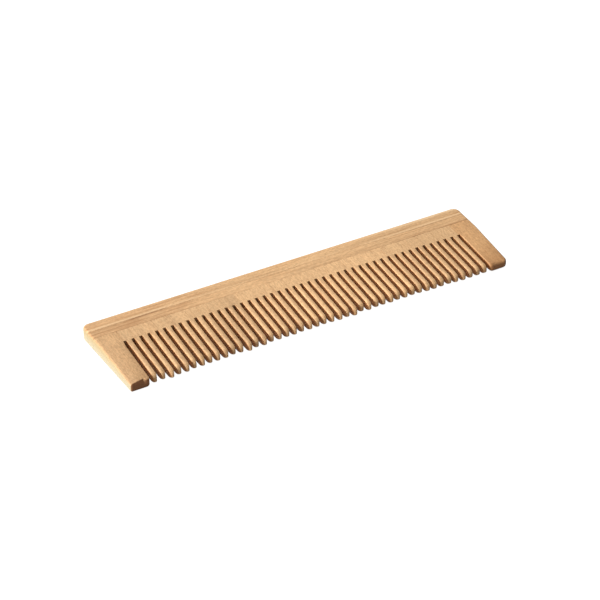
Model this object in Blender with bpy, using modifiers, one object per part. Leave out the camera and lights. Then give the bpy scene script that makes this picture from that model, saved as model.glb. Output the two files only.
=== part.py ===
"""A wide tooth comb of laminated bamboo, lying flat.

Two strips with their grain along the comb make the spine. Nine strips with their grain across
it, and a guard at each end, carry the teeth. Each crosswise piece has a tongue, which is glued
into a groove along the spine's front edge.

Frame: the origin is under the middle of the comb, on the surface that it lies on. +X runs along
the comb, +Y from the tooth tips to the back edge, and +Z up. All sizes are in metres.
"""
import math

import bmesh
import bpy
from mathutils import Matrix, Vector

# Overall sizes
LENGTH = 0.180            # along the back edge
THICKNESS = 0.0058        # of the flat part
TIP_THICKNESS = 0.0036    # at the tips of the guards
PLANING_LEAD = 0.0006     # how far behind the slot roots the planed slope starts

# Depths along Y, from the back edge to the tips
OUTER_STRIP_DEPTH = 0.0063
INNER_STRIP_DEPTH = 0.0047
BAND_DEPTH = 0.0069       # crosswise wood between the spine and the middle slots
TOOTH_REACH = 0.0247      # from the middle slots' roots to the tooth tips
GUARD_PROUD = 0.0011      # how far the guards reach beyond the tooth tips

# Teeth
STRIP_COUNT = 9
TEETH_PER_STRIP = 5
GUARD_WIDTH = 0.0110      # from the end of the back edge to the middle of the first slot
SLOT_WIDTH = 0.0014
ROOT_BOW = 0.0008         # how much shorter the slots at the two ends are than the middle ones
ROOT_TILT = 0.0004        # how far the line of the slot roots drops to the right, on each side
TIP_TAPER = 0.0040        # length over which a tooth narrows to its tip
TIP_RADIUS = 0.0005

# Ends and edges
END_LEAN = 0.0017         # how far each end leans in between the back edge and the guard tips
BACK_CORNER_RADIUS = 0.0030
GUARD_CORNER_RADIUS = 0.0017
EDGE_CHAMFER = 0.00025
ARC_STEPS = 5

# Joints
GLUE_GAP = 0.0003         # between two glued faces
TONGUE_REACH = 0.0028
TONGUE_THICKNESS = 0.0018

# Sizes that follow from those above
TOOTH_COUNT = STRIP_COUNT * TEETH_PER_STRIP
PITCH = (LENGTH - 2 * GUARD_WIDTH) / TOOTH_COUNT
TOOTH_WIDTH = PITCH - SLOT_WIDTH
STRIP_WIDTH = PITCH * TEETH_PER_STRIP
GUARD_REACH = TOOTH_REACH + GUARD_PROUD
WIDTH = OUTER_STRIP_DEPTH + INNER_STRIP_DEPTH + BAND_DEPTH + GUARD_REACH
HALF_LENGTH = LENGTH / 2
BACK_Y = WIDTH / 2
STRIP_LINE_Y = BACK_Y - OUTER_STRIP_DEPTH
SEAM_Y = STRIP_LINE_Y - INNER_STRIP_DEPTH
ROOT_Y = SEAM_Y - BAND_DEPTH
TOOTH_TIP_Y = ROOT_Y - TOOTH_REACH
GUARD_TIP_Y = ROOT_Y - GUARD_REACH
FIRST_SLOT_X = GUARD_WIDTH - HALF_LENGTH
BLANK_MARGIN = 0.002      # how far the uncut blanks stand out beyond the finished form

# Colours of the bamboo, linear
SPINE_COLOUR = (0.70, 0.46, 0.23)
TOOTH_COLOUR = (0.74, 0.49, 0.25)
GUARD_COLOUR = (0.62, 0.38, 0.18)
TONE_STEP = 0.04          # how far neighbouring strips differ in brightness


def clear_scene():
    for scene_object in list(bpy.data.objects):
        bpy.data.objects.remove(scene_object, do_unlink=True)


def new_collection(name):
    collection = bpy.data.collections.new(name)
    bpy.context.scene.collection.children.link(collection)
    return collection


def bamboo(name, colour, tone=1.0):
    """One matte, oiled bamboo material."""
    material = bpy.data.materials.new(name)
    material.use_nodes = True
    shader = material.node_tree.nodes["Principled BSDF"]
    shader.inputs["Base Color"].default_value = [tone * channel for channel in colour] + [1.0]
    shader.inputs["Roughness"].default_value = 0.45
    shader.inputs["Metallic"].default_value = 0.0
    return material


def hide_as_cutter(cutter):
    cutter.hide_render = True
    cutter.display_type = "WIRE"


def end_x(y):
    """Half the comb's length at a depth y: the ends lean in towards the guard tips."""
    return HALF_LENGTH - END_LEAN * (BACK_Y - y) / WIDTH


def root_y(x):
    """Depth of the slot roots: the saw leaves them on a slightly bowed and tilted line."""
    along = x / FIRST_SLOT_X
    return ROOT_Y - ROOT_BOW * along * along + ROOT_TILT * along


def arc(centre, radius, start, stop):
    """Points on an arc from one angle to another, both included."""
    angles = [start + (stop - start) * step / ARC_STEPS for step in range(ARC_STEPS + 1)]
    return [centre + radius * Vector((math.cos(angle), math.sin(angle))) for angle in angles]


def rounded_corner(before, corner, after, radius):
    """The arc that replaces a corner between two straight edges."""
    incoming = (before - corner).normalized()
    outgoing = (after - corner).normalized()
    half_angle = incoming.angle(outgoing) / 2
    centre = corner + (incoming + outgoing).normalized() * radius / math.sin(half_angle)
    first = corner + incoming * radius / math.tan(half_angle) - centre
    last = corner + outgoing * radius / math.tan(half_angle) - centre
    start = math.atan2(first.y, first.x)
    turn = (math.atan2(last.y, last.x) - start + math.pi) % (2 * math.pi) - math.pi
    return arc(centre, radius, start, start + turn)


def tooth_outline(centre_x):
    """One tooth from its left root to its right root: straight sides, then a round point."""
    half_width = TOOTH_WIDTH / 2
    shoulder = Vector((half_width, TIP_TAPER - TIP_RADIUS))
    tangent = math.atan2(shoulder.y, shoulder.x) - math.acos(TIP_RADIUS / shoulder.length)
    tip_centre = Vector((centre_x, TOOTH_TIP_Y + TIP_RADIUS))
    round_tip = arc(tip_centre, TIP_RADIUS, -math.pi - tangent, tangent)
    shoulder_y = TOOTH_TIP_Y + TIP_TAPER
    left_root_y = root_y(centre_x - PITCH / 2)
    right_root_y = root_y(centre_x + PITCH / 2)
    left_side = [Vector((centre_x - half_width, y)) for y in (left_root_y, shoulder_y)]
    right_side = [Vector((centre_x + half_width, y)) for y in (shoulder_y, right_root_y)]
    return left_side + round_tip + right_side


def guard_outline(side):
    """A guard's edge from the back corner to the first slot, on the left (-1) or right (1)."""
    slot_x = side * (SLOT_WIDTH / 2 - FIRST_SLOT_X)
    back = Vector((side * end_x(BACK_Y), BACK_Y))
    tip = Vector((side * end_x(GUARD_TIP_Y), GUARD_TIP_Y))
    inner_tip = Vector((slot_x, GUARD_TIP_Y))
    root = Vector((slot_x, root_y(-side * FIRST_SLOT_X)))
    middle_of_back = Vector((0.0, BACK_Y))
    points = rounded_corner(middle_of_back, back, tip, BACK_CORNER_RADIUS)
    points += rounded_corner(back, tip, inner_tip, GUARD_CORNER_RADIUS)
    points += rounded_corner(tip, inner_tip, root, GUARD_CORNER_RADIUS)
    return points + [root]


def comb_outline():
    """The whole comb's outline, counterclockwise from the left end of the back edge."""
    points = guard_outline(-1)
    for tooth in range(TOOTH_COUNT):
        points += tooth_outline(FIRST_SLOT_X + (tooth + 0.5) * PITCH)
    return points + guard_outline(1)[::-1]


def box(name, collection, low, high):
    """A box between two corners, with its scale applied."""
    bpy.ops.mesh.primitive_cube_add(size=1.0)
    block = bpy.context.object
    block.name = name
    block.data.name = name
    size = Vector(high) - Vector(low)
    for vertex in block.data.vertices:
        vertex.co = vertex.co * size
    block.location = (Vector(high) + Vector(low)) / 2
    for holder in list(block.users_collection):
        holder.objects.unlink(block)
    collection.objects.link(block)
    return block


def boolean(target, operation, cutter):
    modifier = target.modifiers.new(cutter.name, "BOOLEAN")
    modifier.operation = operation
    modifier.solver = "EXACT"
    modifier.object = cutter


def merge_flat_faces(mesh):
    """Weld doubled points and join triangles that lie in one plane."""
    shape = bmesh.new()
    shape.from_mesh(mesh)
    bmesh.ops.remove_doubles(shape, verts=shape.verts, dist=1e-6)
    bmesh.ops.dissolve_limit(
        shape,
        angle_limit=math.radians(0.5),
        verts=shape.verts,
        edges=shape.edges,
        delimit={"NORMAL"},
    )
    shape.to_mesh(mesh)
    shape.free()


def evaluated_copy(source, name, collection):
    """A plain mesh object of what a curve or a modified object evaluates to."""
    bpy.context.view_layer.update()
    evaluated = source.evaluated_get(bpy.context.evaluated_depsgraph_get())
    mesh = bpy.data.meshes.new_from_object(evaluated)
    merge_flat_faces(mesh)
    copy = bpy.data.objects.new(name, mesh)
    copy.matrix_world = source.matrix_world.copy()
    collection.objects.link(copy)
    bpy.data.objects.remove(source, do_unlink=True)
    return copy


def flat_comb(collection):
    """The comb's outline, extruded to the full thickness."""
    curve = bpy.data.curves.new("flat_comb_outline", "CURVE")
    curve.dimensions = "2D"
    curve.fill_mode = "BOTH"
    curve.extrude = THICKNESS / 2
    points = comb_outline()
    spline = curve.splines.new("POLY")
    spline.points.add(len(points) - 1)
    for spline_point, point in zip(spline.points, points):
        spline_point.co = (point.x, point.y, 0.0, 1.0)
    spline.use_cyclic_u = True
    outline = bpy.data.objects.new("flat_comb_outline", curve)
    outline.location.z = THICKNESS / 2
    collection.objects.link(outline)
    return evaluated_copy(outline, "flat_comb", collection)


def planing_block(collection):
    """What planing takes off above the teeth, turned about the line where it starts."""
    slope = math.atan2(THICKNESS - TIP_THICKNESS, GUARD_REACH + PLANING_LEAD)
    block = box("planing_block", collection, (-LENGTH, -WIDTH, 0.0), (LENGTH, 0.0, THICKNESS))
    start = Vector((0.0, ROOT_Y + PLANING_LEAD, THICKNESS))
    block.location = start + Matrix.Rotation(slope, 3, "X") @ block.location
    block.rotation_euler.x = slope
    hide_as_cutter(block)
    return block


def finished_form(collection):
    """The comb as it is shaped after gluing: slots, tapered teeth and chamfered edges."""
    comb = flat_comb(collection)
    boolean(comb, "DIFFERENCE", planing_block(collection))
    planed = evaluated_copy(comb, "planed_comb", collection)
    chamfer = planed.modifiers.new("chamfer", "BEVEL")
    chamfer.width = EDGE_CHAMFER
    chamfer.segments = 1
    chamfer.limit_method = "ANGLE"
    chamfer.angle_limit = math.radians(60.0)
    form = evaluated_copy(planed, "finished_form", collection)
    hide_as_cutter(form)
    return form


def shape_to_form(blank, form, material):
    """Trim a blank to the comb's finished form and give it its bamboo."""
    boolean(blank, "INTERSECT", form)
    blank.data.materials.append(material)


def tongue_z(thickness):
    """Lowest and highest point of a tongue or a groove, in the middle of the wood."""
    return (THICKNESS - thickness) / 2, (THICKNESS + thickness) / 2


def spine_strip(name, collection, low_y, high_y, material, form):
    """A full-length strip of the spine between two depths."""
    low = (-HALF_LENGTH - BLANK_MARGIN, low_y, -BLANK_MARGIN)
    high = (HALF_LENGTH + BLANK_MARGIN, high_y, THICKNESS + BLANK_MARGIN)
    strip = box(name, collection, low, high)
    shape_to_form(strip, form, material)
    return strip


def cut_groove(strip, cutters):
    """Cut the groove for the tongues along the front edge of a spine strip."""
    low_z, high_z = tongue_z(TONGUE_THICKNESS + 2 * GLUE_GAP)
    floor_y = SEAM_Y + GLUE_GAP / 2 + TONGUE_REACH + GLUE_GAP
    low = (-HALF_LENGTH - 2 * BLANK_MARGIN, SEAM_Y - BLANK_MARGIN, low_z)
    groove = box("groove", cutters, low, (HALF_LENGTH + 2 * BLANK_MARGIN, floor_y, high_z))
    hide_as_cutter(groove)
    boolean(strip, "DIFFERENCE", groove)


def crosswise_piece(name, collection, cutters, low_x, high_x, material, form):
    """A piece with its grain across the comb, with a tongue on its back edge."""
    edge_y = SEAM_Y - GLUE_GAP / 2
    low = (low_x, GUARD_TIP_Y - BLANK_MARGIN, -BLANK_MARGIN)
    piece = box(name, collection, low, (high_x, edge_y, THICKNESS + BLANK_MARGIN))
    low_z, high_z = tongue_z(TONGUE_THICKNESS)
    tongue_y = SEAM_Y + GLUE_GAP / 2 + TONGUE_REACH
    tongue = box(name + "_tongue", cutters, (low_x, ROOT_Y, low_z), (high_x, tongue_y, high_z))
    hide_as_cutter(tongue)
    boolean(piece, "UNION", tongue)
    shape_to_form(piece, form, material)
    return piece


def build_spine(comb, cutters, form):
    inner = (SEAM_Y + GLUE_GAP / 2, STRIP_LINE_Y - GLUE_GAP / 2)
    outer = (STRIP_LINE_Y + GLUE_GAP / 2, BACK_Y + BLANK_MARGIN)
    inner_bamboo = bamboo("inner_strip_bamboo", SPINE_COLOUR, 1 - TONE_STEP)
    outer_bamboo = bamboo("outer_strip_bamboo", SPINE_COLOUR, 1 + TONE_STEP)
    inner_strip = spine_strip("spine_inner_strip", comb, *inner, inner_bamboo, form)
    cut_groove(inner_strip, cutters)
    spine_strip("spine_outer_strip", comb, *outer, outer_bamboo, form)


def build_tooth_strips(comb, cutters, form):
    for strip in range(STRIP_COUNT):
        low_x = FIRST_SLOT_X + strip * STRIP_WIDTH + GLUE_GAP / 2
        high_x = low_x + STRIP_WIDTH - GLUE_GAP
        name = f"tooth_strip_{strip + 1}"
        wood = bamboo(name + "_bamboo", TOOTH_COLOUR, 1 + TONE_STEP * (strip % 3 - 1))
        crosswise_piece(name, comb, cutters, low_x, high_x, wood, form)


def build_end_guards(comb, cutters, form):
    inner_x = FIRST_SLOT_X - GLUE_GAP / 2
    outer_x = -HALF_LENGTH - BLANK_MARGIN
    left_wood = bamboo("left_guard_bamboo", GUARD_COLOUR, 1 + TONE_STEP)
    right_wood = bamboo("right_guard_bamboo", GUARD_COLOUR, 1 - TONE_STEP)
    crosswise_piece("end_guard_left", comb, cutters, outer_x, inner_x, left_wood, form)
    crosswise_piece("end_guard_right", comb, cutters, -inner_x, -outer_x, right_wood, form)


def main():
    clear_scene()
    comb = new_collection("wide_tooth_comb")
    cutters = new_collection("cutters")
    form = finished_form(cutters)
    build_spine(comb, cutters, form)
    build_tooth_strips(comb, cutters, form)
    build_end_guards(comb, cutters, form)


main()
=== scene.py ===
# %% [markdown]
# # A wide tooth comb of laminated bamboo
#
# The comb is a sheet of bamboo 180 mm long and under 6 mm thick, glued up from strips before it
# was cut. Two strips with the grain along the comb make the spine. Nine strips with the grain
# across it carry the teeth, and a broad guard closes each end.
#
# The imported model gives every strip's place. This lesson makes the finished surface of each
# strip, then its bamboo, and then lays the comb on a white table under soft lights.

# %% Load the frame
import math
import random

import bmesh
import bpy
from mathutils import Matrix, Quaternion, Vector


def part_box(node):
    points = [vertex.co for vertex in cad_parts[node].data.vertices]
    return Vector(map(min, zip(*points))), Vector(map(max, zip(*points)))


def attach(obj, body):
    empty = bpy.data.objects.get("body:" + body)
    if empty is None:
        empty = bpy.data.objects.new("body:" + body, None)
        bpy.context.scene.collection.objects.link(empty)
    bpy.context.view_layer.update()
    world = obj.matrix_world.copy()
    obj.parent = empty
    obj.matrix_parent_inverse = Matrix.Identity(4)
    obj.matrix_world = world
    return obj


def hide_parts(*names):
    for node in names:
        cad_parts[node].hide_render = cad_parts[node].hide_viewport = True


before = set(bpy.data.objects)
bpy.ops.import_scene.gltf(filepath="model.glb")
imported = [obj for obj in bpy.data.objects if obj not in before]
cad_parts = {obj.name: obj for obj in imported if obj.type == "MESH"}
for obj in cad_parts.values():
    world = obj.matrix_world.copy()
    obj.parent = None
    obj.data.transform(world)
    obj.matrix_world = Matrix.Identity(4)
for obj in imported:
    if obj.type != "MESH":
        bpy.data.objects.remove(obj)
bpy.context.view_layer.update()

MM = 0.001
scene = bpy.context.scene
print("pieces in the frame:", ", ".join(sorted(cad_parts)))

# %% [markdown]
# ## Where the saw and the plane went
#
# The strips' boxes say where the glue lines are. The saw's and the plane's own sizes are named
# here: the slots are 1.4 mm wide, their roots lie on a slightly bowed line, and the top is
# planed to a slope that starts just behind the roots and thins the tips.

# %% Lines that the strips' boxes give
INNER_LOW, INNER_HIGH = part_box("spine_inner_strip")
OUTER_LOW, OUTER_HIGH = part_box("spine_outer_strip")
GUARD_LOW, GUARD_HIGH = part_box("end_guard_left")
FIRST_LOW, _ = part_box("tooth_strip_1")
STRIP_COUNT = sum(name.startswith("tooth_strip_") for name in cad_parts)
TEETH_PER_STRIP = 5

BACK_Y = OUTER_HIGH.y
STRIP_LINE_Y = (INNER_HIGH.y + OUTER_LOW.y) / 2
HALF_GLUE_GAP = (OUTER_LOW.y - INNER_HIGH.y) / 2
SEAM_Y = INNER_LOW.y - HALF_GLUE_GAP
GUARD_TIP_Y = GUARD_LOW.y
THICKNESS = OUTER_HIGH.z
FIRST_SLOT_X = (GUARD_HIGH.x + FIRST_LOW.x) / 2
TOOTH_COUNT = STRIP_COUNT * TEETH_PER_STRIP
PITCH = -2 * FIRST_SLOT_X / TOOTH_COUNT
print(f"seam at {SEAM_Y / MM:.2f} mm, pitch {PITCH / MM:.3f} mm, {TOOTH_COUNT} teeth")

# %% Sizes that the saw, the plane and the sanding belt leave
HALF_LENGTH = 90.0 * MM        # at the back edge, before its corners are rounded
END_LEAN = 1.7 * MM            # how far each end leans in towards the guard tips
BAND_DEPTH = 6.9 * MM          # from the seam to the slot roots
ROOT_BOW = 0.8 * MM            # how much nearer the tips the roots lie at the ends
ROOT_TILT = 0.4 * MM           # how much their line tilts between the middle and an end
SLOT_WIDTH = 1.4 * MM
PLANING_LEAD = 0.6 * MM        # how far behind the roots the planing starts
TIP_THICKNESS = 3.6 * MM       # at the guards' tips
BACK_CORNER_RADIUS = 3.0 * MM
GUARD_CORNER_RADIUS = 1.7 * MM
EDGE_ROUND = 0.55 * MM         # sanded edges of the ends
LEFT_EDGE_ROUND = 0.90 * MM    # the left end's upper edge
BACK_ROUND = 1.0 * MM          # sanded edge of the back
JOINT_GAP = 0.03 * MM          # open at each side of a line along the comb, in all across it
GLUED_INSET = 2.0 * MM         # where a glued side's sharp edge starts, behind the end's round

ROOT_Y = SEAM_Y - BAND_DEPTH
PLANING_START_Y = ROOT_Y + PLANING_LEAD
PLANING_SLOPE = (THICKNESS - TIP_THICKNESS) / (PLANING_START_Y - GUARD_TIP_Y)


def end_x(y):
    """Half the comb's length at a depth y."""
    return HALF_LENGTH - END_LEAN * (BACK_Y - y) / (BACK_Y - GUARD_TIP_Y)


def root_y(x):
    """Depth of the slot roots, on the saw's bowed and tilted line."""
    along = x / FIRST_SLOT_X
    return ROOT_Y - ROOT_BOW * along * along + ROOT_TILT * along


def top_z(y):
    """Height of the top face: flat, then planed down towards the tips."""
    return THICKNESS - PLANING_SLOPE * max(0.0, PLANING_START_Y - y)


print(f"roots from {root_y(FIRST_SLOT_X) / MM:.2f} to {root_y(0) / MM:.2f} mm")

# %% [markdown]
# ## Camera
#
# The comb is seen from above its left front corner with a long lens, so that its far end is
# hardly smaller than its near one. It comes first, because every surface below is judged
# through it.

# %% Long-lens camera
CAMERA_AZIMUTH = math.radians(-29.744)
CAMERA_ELEVATION = math.radians(35.485)
CAMERA_ROLL = math.radians(0.30)
CAMERA_DISTANCE = 0.825
CAMERA_AIM = Vector((0.281, 1.903, -0.836)) * MM
LENS_LENGTH = 119.15           # millimetres, for a sensor 36 mm wide
SENSOR_WIDTH = 36.0
NEAREST, FARTHEST = 0.05, 10.0  # metres that the camera can see between


def add_camera():
    level = math.cos(CAMERA_ELEVATION)
    towards_camera = Vector((
        math.sin(CAMERA_AZIMUTH) * level,
        -math.cos(CAMERA_AZIMUTH) * level,
        math.sin(CAMERA_ELEVATION),
    ))
    lens = bpy.data.cameras.new("long_lens")
    lens.sensor_width = SENSOR_WIDTH
    lens.lens = LENS_LENGTH
    lens.clip_start = NEAREST
    lens.clip_end = FARTHEST
    camera = bpy.data.objects.new("camera", lens)
    camera.location = CAMERA_AIM + towards_camera * CAMERA_DISTANCE
    turn = towards_camera.to_track_quat("Z", "Y") @ Quaternion((0.0, 0.0, 1.0), CAMERA_ROLL)
    camera.rotation_euler = turn.to_euler()
    scene.collection.objects.link(camera)
    scene.camera = camera
    return camera


camera = add_camera()
print("camera at", [round(value, 3) for value in camera.location])

# %% [markdown]
# ## Outlines that know their own edges
#
# Each strip is a flat slab whose outer edges are sanded round and whose glued edges are sharp.
# A Bevel modifier would round both. So each point of an outline carries which way is in, and
# how round its edge is, and the slab is made of rings: upright at the sides, then stepping in
# along a quarter circle to the top and the bottom face. Where the roundness is zero, the rings
# fall on one another and are welded.


# %% Edge points and corner arcs
class EdgePoint:
    """A point of an outline: its place, the way in, the radius of its rounded edge, and how
    flat that edge was ground, from 0, round, to 1, a plain facet."""

    def __init__(self, place, inward, radius, foot_radius=None, flatness=0.0):
        self.place = Vector(place)
        self.inward = Vector(inward)
        self.radius = radius
        self.foot_radius = radius if foot_radius is None else foot_radius
        self.flatness = flatness


CORNER_STEPS = 10


def corner_arc(corner, before, after, radius, first_round, last_round, foot_round=None,
               flats=(0.0, 0.0)):
    """Edge points round a corner. The edge's radius and flatness blend from one side's to the
    other's."""
    incoming = (Vector(before) - Vector(corner)).normalized()
    outgoing = (Vector(after) - Vector(corner)).normalized()
    half_angle = incoming.angle(outgoing) / 2
    centre = Vector(corner) + (incoming + outgoing).normalized() * radius / math.sin(half_angle)
    first = Vector(corner) + incoming * radius / math.tan(half_angle) - centre
    last = Vector(corner) + outgoing * radius / math.tan(half_angle) - centre
    start = math.atan2(first.y, first.x)
    turn = (math.atan2(last.y, last.x) - start + math.pi) % (2 * math.pi) - math.pi
    points = []
    for step in range(CORNER_STEPS + 1):
        share = step / CORNER_STEPS
        outward = Vector((math.cos(start + turn * share), math.sin(start + turn * share)))
        edge_round = first_round + (last_round - first_round) * share
        foot = foot_round or min(edge_round, EDGE_ROUND)
        place = centre + outward * radius
        flatness = flats[0] + (flats[1] - flats[0]) * share
        points.append(EdgePoint(place, -outward, edge_round, foot, flatness))
    return points


print("a corner is drawn in", CORNER_STEPS + 1, "points")

# %% A slab from rings
ROUND_STEPS = 6
WELD_DISTANCE = 1e-7           # a ten-thousandth of a millimetre
SHARP_ABOVE = math.radians(40.0)


def ring_levels():
    """Steps from the bottom face up to the top face, each with its inset and rise on a unit
    quarter circle, and its share of the way."""
    shares = [step / ROUND_STEPS for step in range(ROUND_STEPS + 1)]
    foot = [("foot", 1 - math.sin(share * math.pi / 2), 1 - math.cos(share * math.pi / 2), share)
            for share in shares]
    head = [("head", 1 - math.cos(share * math.pi / 2), 1 - math.sin(share * math.pi / 2), share)
            for share in shares]
    return foot + head


def slab(name, outline, split_at=None):
    """A closed slab with the given outline, counterclockwise, and its own rounded edges. Its top
    can be split between two points, where the planing starts."""
    shape = bmesh.new()
    rings = []
    for part, inset, rise, share in ring_levels():
        ring = []
        for point in outline:
            radius = point.foot_radius if part == "foot" else point.radius
            flat = point.flatness if part == "head" else 0.0
            place = point.place + point.inward * radius * (inset + (share - inset) * flat)
            drop = radius * (rise + (1 - share - rise) * flat)
            height = radius * rise if part == "foot" else top_z(place.y) - drop
            ring.append(shape.verts.new((place.x, place.y, height)))
        rings.append(ring)
    count = len(outline)
    for lower, upper in zip(rings, rings[1:]):
        for index in range(count):
            after = (index + 1) % count
            shape.faces.new((lower[index], lower[after], upper[after], upper[index]))
    shape.faces.new(rings[0][::-1])
    top = shape.faces.new(rings[-1])
    if split_at:
        bmesh.utils.face_split(top, rings[-1][split_at[0]], rings[-1][split_at[1]])
    bmesh.ops.remove_doubles(shape, verts=shape.verts, dist=WELD_DISTANCE)
    return finished_mesh(name, shape)


def finished_mesh(name, shape):
    """Turn a bmesh into an object, smooth except at its sharp edges."""
    mesh = bpy.data.meshes.new(name)
    shape.normal_update()
    shape.to_mesh(mesh)
    shape.free()
    mesh.shade_smooth()
    mesh.set_sharp_from_angle(angle=SHARP_ABOVE)
    piece = bpy.data.objects.new(name, mesh)
    scene.collection.objects.link(piece)
    return piece


def report(piece):
    """Say how big a piece is and whether it is closed."""
    shape = bmesh.new()
    shape.from_mesh(piece.data)
    open_edges = sum(not edge.is_manifold for edge in shape.edges)
    volume = shape.calc_volume(signed=True) / MM ** 3
    print(f"{piece.name}: {len(shape.faces)} faces, {open_edges} open edges, {volume:.0f} mm3")
    shape.free()


print("a slab has", len(ring_levels()), "rings")

# %% [markdown]
# ## The two spine strips
#
# They run the whole length. The outer one has the comb's rounded back corners. The inner one
# is a plain bar, whose two ends carry the same sanded edge.

# %% Outer and inner spine strips
def end_point(side, y):
    """An edge point on one of the comb's ends; the left one was sanded rounder."""
    radius = EDGE_ROUND if side > 0 else LEFT_EDGE_ROUND
    return EdgePoint((side * end_x(y), y), (-side, 0.0), radius, EDGE_ROUND)


def glued_point(x, y):
    return EdgePoint((x, y), (0.0, 0.0), 0.0)


def outer_strip():
    low_y = STRIP_LINE_Y + JOINT_GAP
    right_x, left_x = end_x(low_y) - GLUED_INSET, -end_x(low_y) + GLUED_INSET
    outline = [glued_point(left_x, low_y), glued_point(right_x, low_y), end_point(1, low_y)]
    for side in (1, -1):
        along_end = (side * end_x(low_y), low_y)
        along_back = (0.0, BACK_Y)
        corner = (side * end_x(BACK_Y), BACK_Y)
        ways = [along_end, along_back] if side > 0 else [along_back, along_end]
        rounds = [EDGE_ROUND, BACK_ROUND] if side > 0 else [BACK_ROUND, LEFT_EDGE_ROUND]
        outline += corner_arc(corner, *ways, BACK_CORNER_RADIUS, *rounds)
    outline.append(end_point(-1, low_y))
    return slab("spine_outer_strip_face", outline)


def inner_strip():
    low_y, high_y = SEAM_Y + JOINT_GAP, STRIP_LINE_Y - JOINT_GAP
    outline = []
    for side, y in ((1, low_y), (1, high_y), (-1, high_y), (-1, low_y)):
        inner_x = side * (end_x(y) - GLUED_INSET)
        pair = [end_point(side, y), glued_point(inner_x, y)]
        outline += pair if (side, y) in ((1, high_y), (-1, low_y)) else pair[::-1]
    return slab("spine_inner_strip_face", outline)


outer_face = outer_strip()
inner_face = inner_strip()
report(outer_face)
report(inner_face)

# %% [markdown]
# ## The two end guards
#
# A guard is the broad tooth at each end. The left one's tip was ground to a slanting facet,
# which is deepest a little way in from the slot, and the right one's was sanded round. A
# guard's inner edge faces the first slot: the belt can't reach into the slot's root, so the
# edge is sharp there and grows round over the first few millimetres.

# %% End guards
FADE_LENGTH = 3.0 * MM
FADE_STEPS = 8
SLOT_SIDE_ROUND = 0.65 * MM
SHARP = 0.05 * MM              # what is left of an edge's roundness at the slot root
SLOT_CORNER_FLAT = 0.4         # a facet's share at the corner by the slot


def fade(distance, full):
    """How round an edge is at a distance from the slot root."""
    share = min(1.0, distance / FADE_LENGTH)
    return SHARP + (full - SHARP) * share * share * (3 - 2 * share)


def end_guard(side, name, cut_back, outer_radius, rounds, foot_round, flatness, crest=None):
    """A guard, drawn for the right end and mirrored for the left. The crest is where the ground
    facet at the tip is deepest: (distance from the slot, depth)."""
    slot_x = -FIRST_SLOT_X + SLOT_WIDTH / 2
    glue_x = -FIRST_SLOT_X + JOINT_GAP / 2
    root = root_y(-side * FIRST_SLOT_X)
    seam = SEAM_Y - JOINT_GAP
    inner_round, outer_round = rounds
    ground_y = GUARD_TIP_Y + cut_back
    tip = (end_x(ground_y), ground_y)
    inner_tip = (slot_x, ground_y)
    outline = [glued_point(glue_x, seam), glued_point(glue_x, PLANING_START_Y)]
    outline.append(glued_point(glue_x, root))
    outline.append(EdgePoint((slot_x, root), (1.0, 0.0), SHARP))
    for step in range(1, FADE_STEPS + 1):
        down = FADE_LENGTH * step / FADE_STEPS
        outline.append(EdgePoint((slot_x, root - down), (1.0, 0.0), fade(down, SLOT_SIDE_ROUND)))
    outline += corner_arc(
        inner_tip, (slot_x, root), tip, GUARD_CORNER_RADIUS, SLOT_SIDE_ROUND, inner_round,
        foot_round, (0.0, flatness * SLOT_CORNER_FLAT),
    )
    if crest:
        place = (slot_x + crest[0], ground_y)
        outline.append(EdgePoint(place, (0.0, 1.0), crest[1], foot_round, flatness))
    end_round = end_point(side, seam).radius
    outline += corner_arc(
        tip, inner_tip, (end_x(seam), seam), outer_radius, outer_round, end_round,
        foot_round, (flatness, 0.0),
    )
    for y in (PLANING_START_Y, seam):
        outline.append(EdgePoint((end_x(y), y), (-1.0, 0.0), end_round, EDGE_ROUND))
    start_index = len(outline) - 2
    outline.append(glued_point(end_x(seam) - GLUED_INSET, seam))
    if side < 0:
        for point in outline:
            point.place.x *= -1
            point.inward.x *= -1
        outline.reverse()
        last = len(outline) - 1
        return slab(name, outline, split_at=(last - 1, last - start_index))
    return slab(name, outline, split_at=(1, start_index))


left_guard_face = end_guard(
    -1, "end_guard_left_face", cut_back=0.6 * MM, outer_radius=0.9 * MM,
    rounds=(1.0 * MM, 0.6 * MM), foot_round=0.85 * MM, flatness=0.9, crest=(2.6 * MM, 1.9 * MM),
)
right_guard_face = end_guard(
    1, "end_guard_right_face", cut_back=0.4 * MM, outer_radius=2.0 * MM,
    rounds=(1.6 * MM, 1.8 * MM), foot_round=1.65 * MM, flatness=0.0,
)
report(left_guard_face)
report(right_guard_face)

# %% [markdown]
# ## The tooth strips
#
# A saw cuts the slots, then the teeth are ground to points and their edges are buffed round.
# Each tooth is lofted: a rounded rectangle is swept from the slot root to the tip, and it gets
# rounder along the first millimetres, thinner with the planed slope, and closes in a blunt
# point. The root ring is shared with the plate behind it, so that plate and teeth are one
# closed body, as they are one piece of wood.
#
# No two teeth are quite alike after hand grinding. A seeded draw moves each tip a little.

# %% One tooth's own numbers
TOOTH_HALF_WIDTH = (PITCH - SLOT_WIDTH) / 2
TOOTH_ROUND = 0.38 * MM        # upper edges of the shank
NOSE_LENGTH = 3.1 * MM         # where the sides start to close
RIGHT_BLUNTNESS = 0.48         # how much shorter the ground noses are at the right end
END_SHORTFALL = 0.4 * MM       # how far the first and last teeth stop behind the guards
MIDDLE_SHORTFALL = 1.6 * MM
LEAST_SHORTFALL = 0.15 * MM
LENGTH_SPREAD = 0.28           # millimetres, of the tips' places along the teeth
SIDEWAYS_SPREAD = 0.09         # millimetres, of the tips' places across the teeth
WIDTH_SPREAD, ROUND_SPREAD, NOSE_SPREAD = 0.02, 0.06, 0.08
grinding = random.Random(20)


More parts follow.
